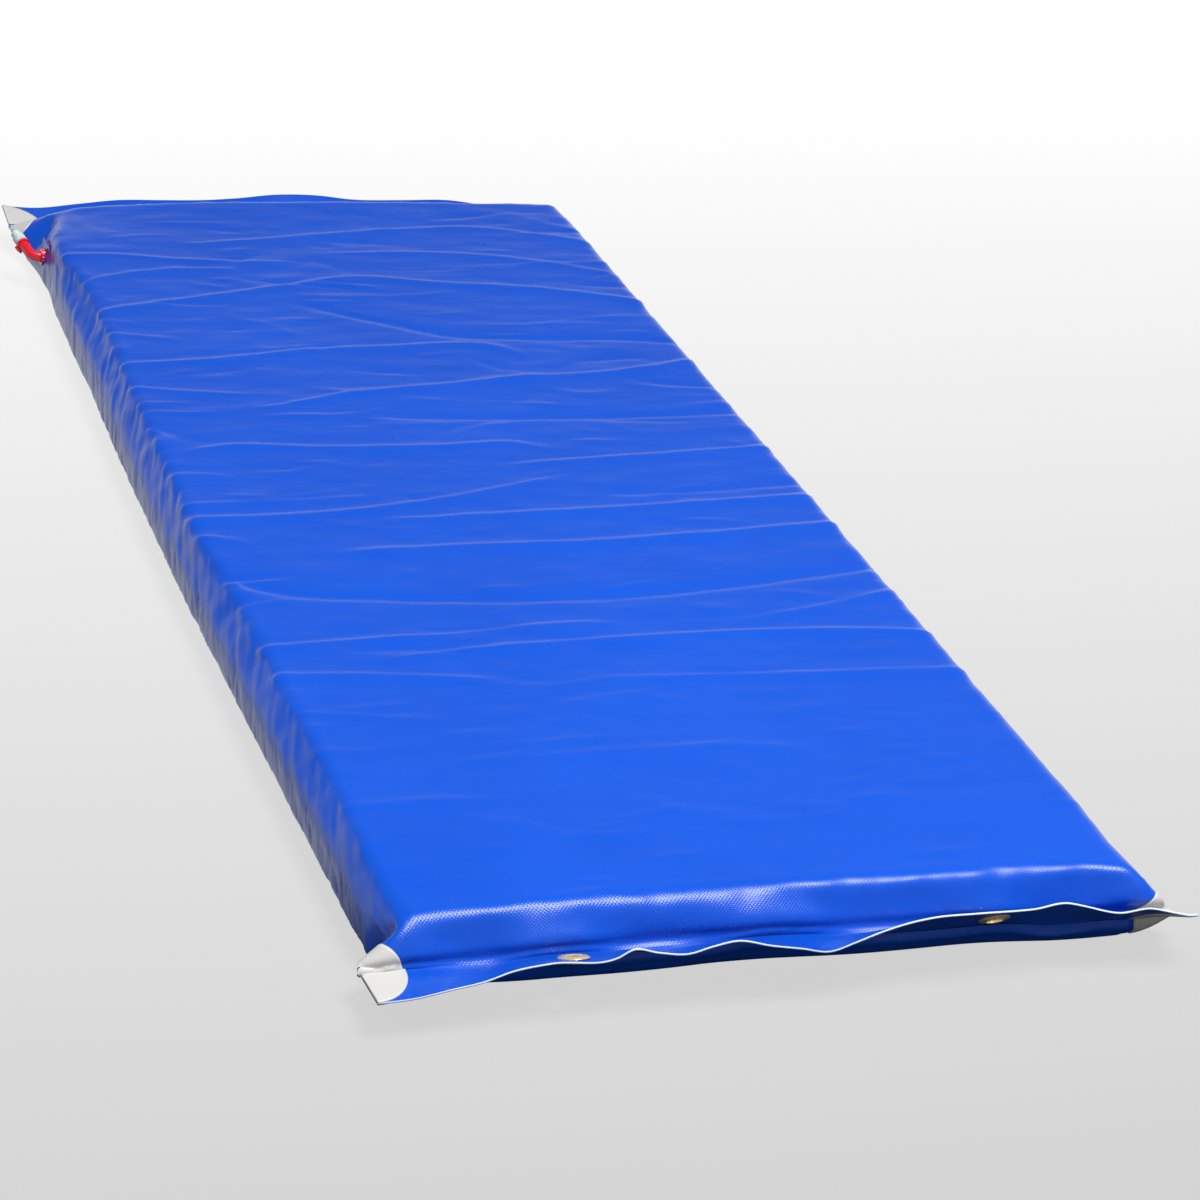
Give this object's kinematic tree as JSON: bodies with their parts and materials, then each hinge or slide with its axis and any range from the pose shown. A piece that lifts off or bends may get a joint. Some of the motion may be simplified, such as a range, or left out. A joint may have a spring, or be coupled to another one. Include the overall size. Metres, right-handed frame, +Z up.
{
  "type": "foam-cored air mat",
  "caption": "Flat rectangular foam-filled air mat with a welded cover, a flange with eyelets along each end seam, and a bent filler valve with a twist mouthpiece at one corner.",
  "frame": {"origin": "on the floor under the middle of the mat", "axes": "+Z up, +Y along the length towards the head end where the valve is, X across the width with the valve on the -X side"},
  "size_m": [0.8352, 2.0452, 0.08],
  "materials": {
    "cover": "semi-gloss vinyl coating",
    "foam": "open-cell foam",
    "patch": "satin vinyl coating",
    "brass": "polished",
    "red_plastic": "gloss",
    "white_plastic": "gloss, slightly translucent",
    "rubber": "matt"
  },
  "bodies": {
    "mat": {"top_sheet": "cover", "base_sheet": "cover", "foam_core": "foam", "foot_left_patch": "patch", "foot_right_patch": "patch", "head_left_patch": "patch", "head_right_patch": "patch", "foot_eyelets": "brass", "foot_washers": "brass", "head_eyelets": "brass", "head_washers": "brass", "valve_doubler": "cover", "valve_gasket": "rubber", "valve_base": "red_plastic", "valve_clamp_nut": "red_plastic", "valve_elbow": "red_plastic", "valve_seat": "white_plastic"},
    "seal": {"valve_seal": "rubber"},
    "mouthpiece": {"valve_mouthpiece": "white_plastic"}
  },
  "joints": [
    {"name": "valve_lift", "type": "slide", "parent": "mat", "child": "seal", "axis": [-0.3, 0.9049, 0.302], "range_m": [0, 0.004]},
    {"name": "valve_twist", "type": "hinge", "parent": "seal", "child": "mouthpiece", "pos_m": [-0.40739, 0.85412, 0.05238], "axis": [-0.3, 0.9049, 0.302], "range_deg": [0, 180]}
  ],
  "couplings": [
    {"joint": "valve_twist", "follows": "valve_lift", "rad_per_m": 785.4}
  ]
}
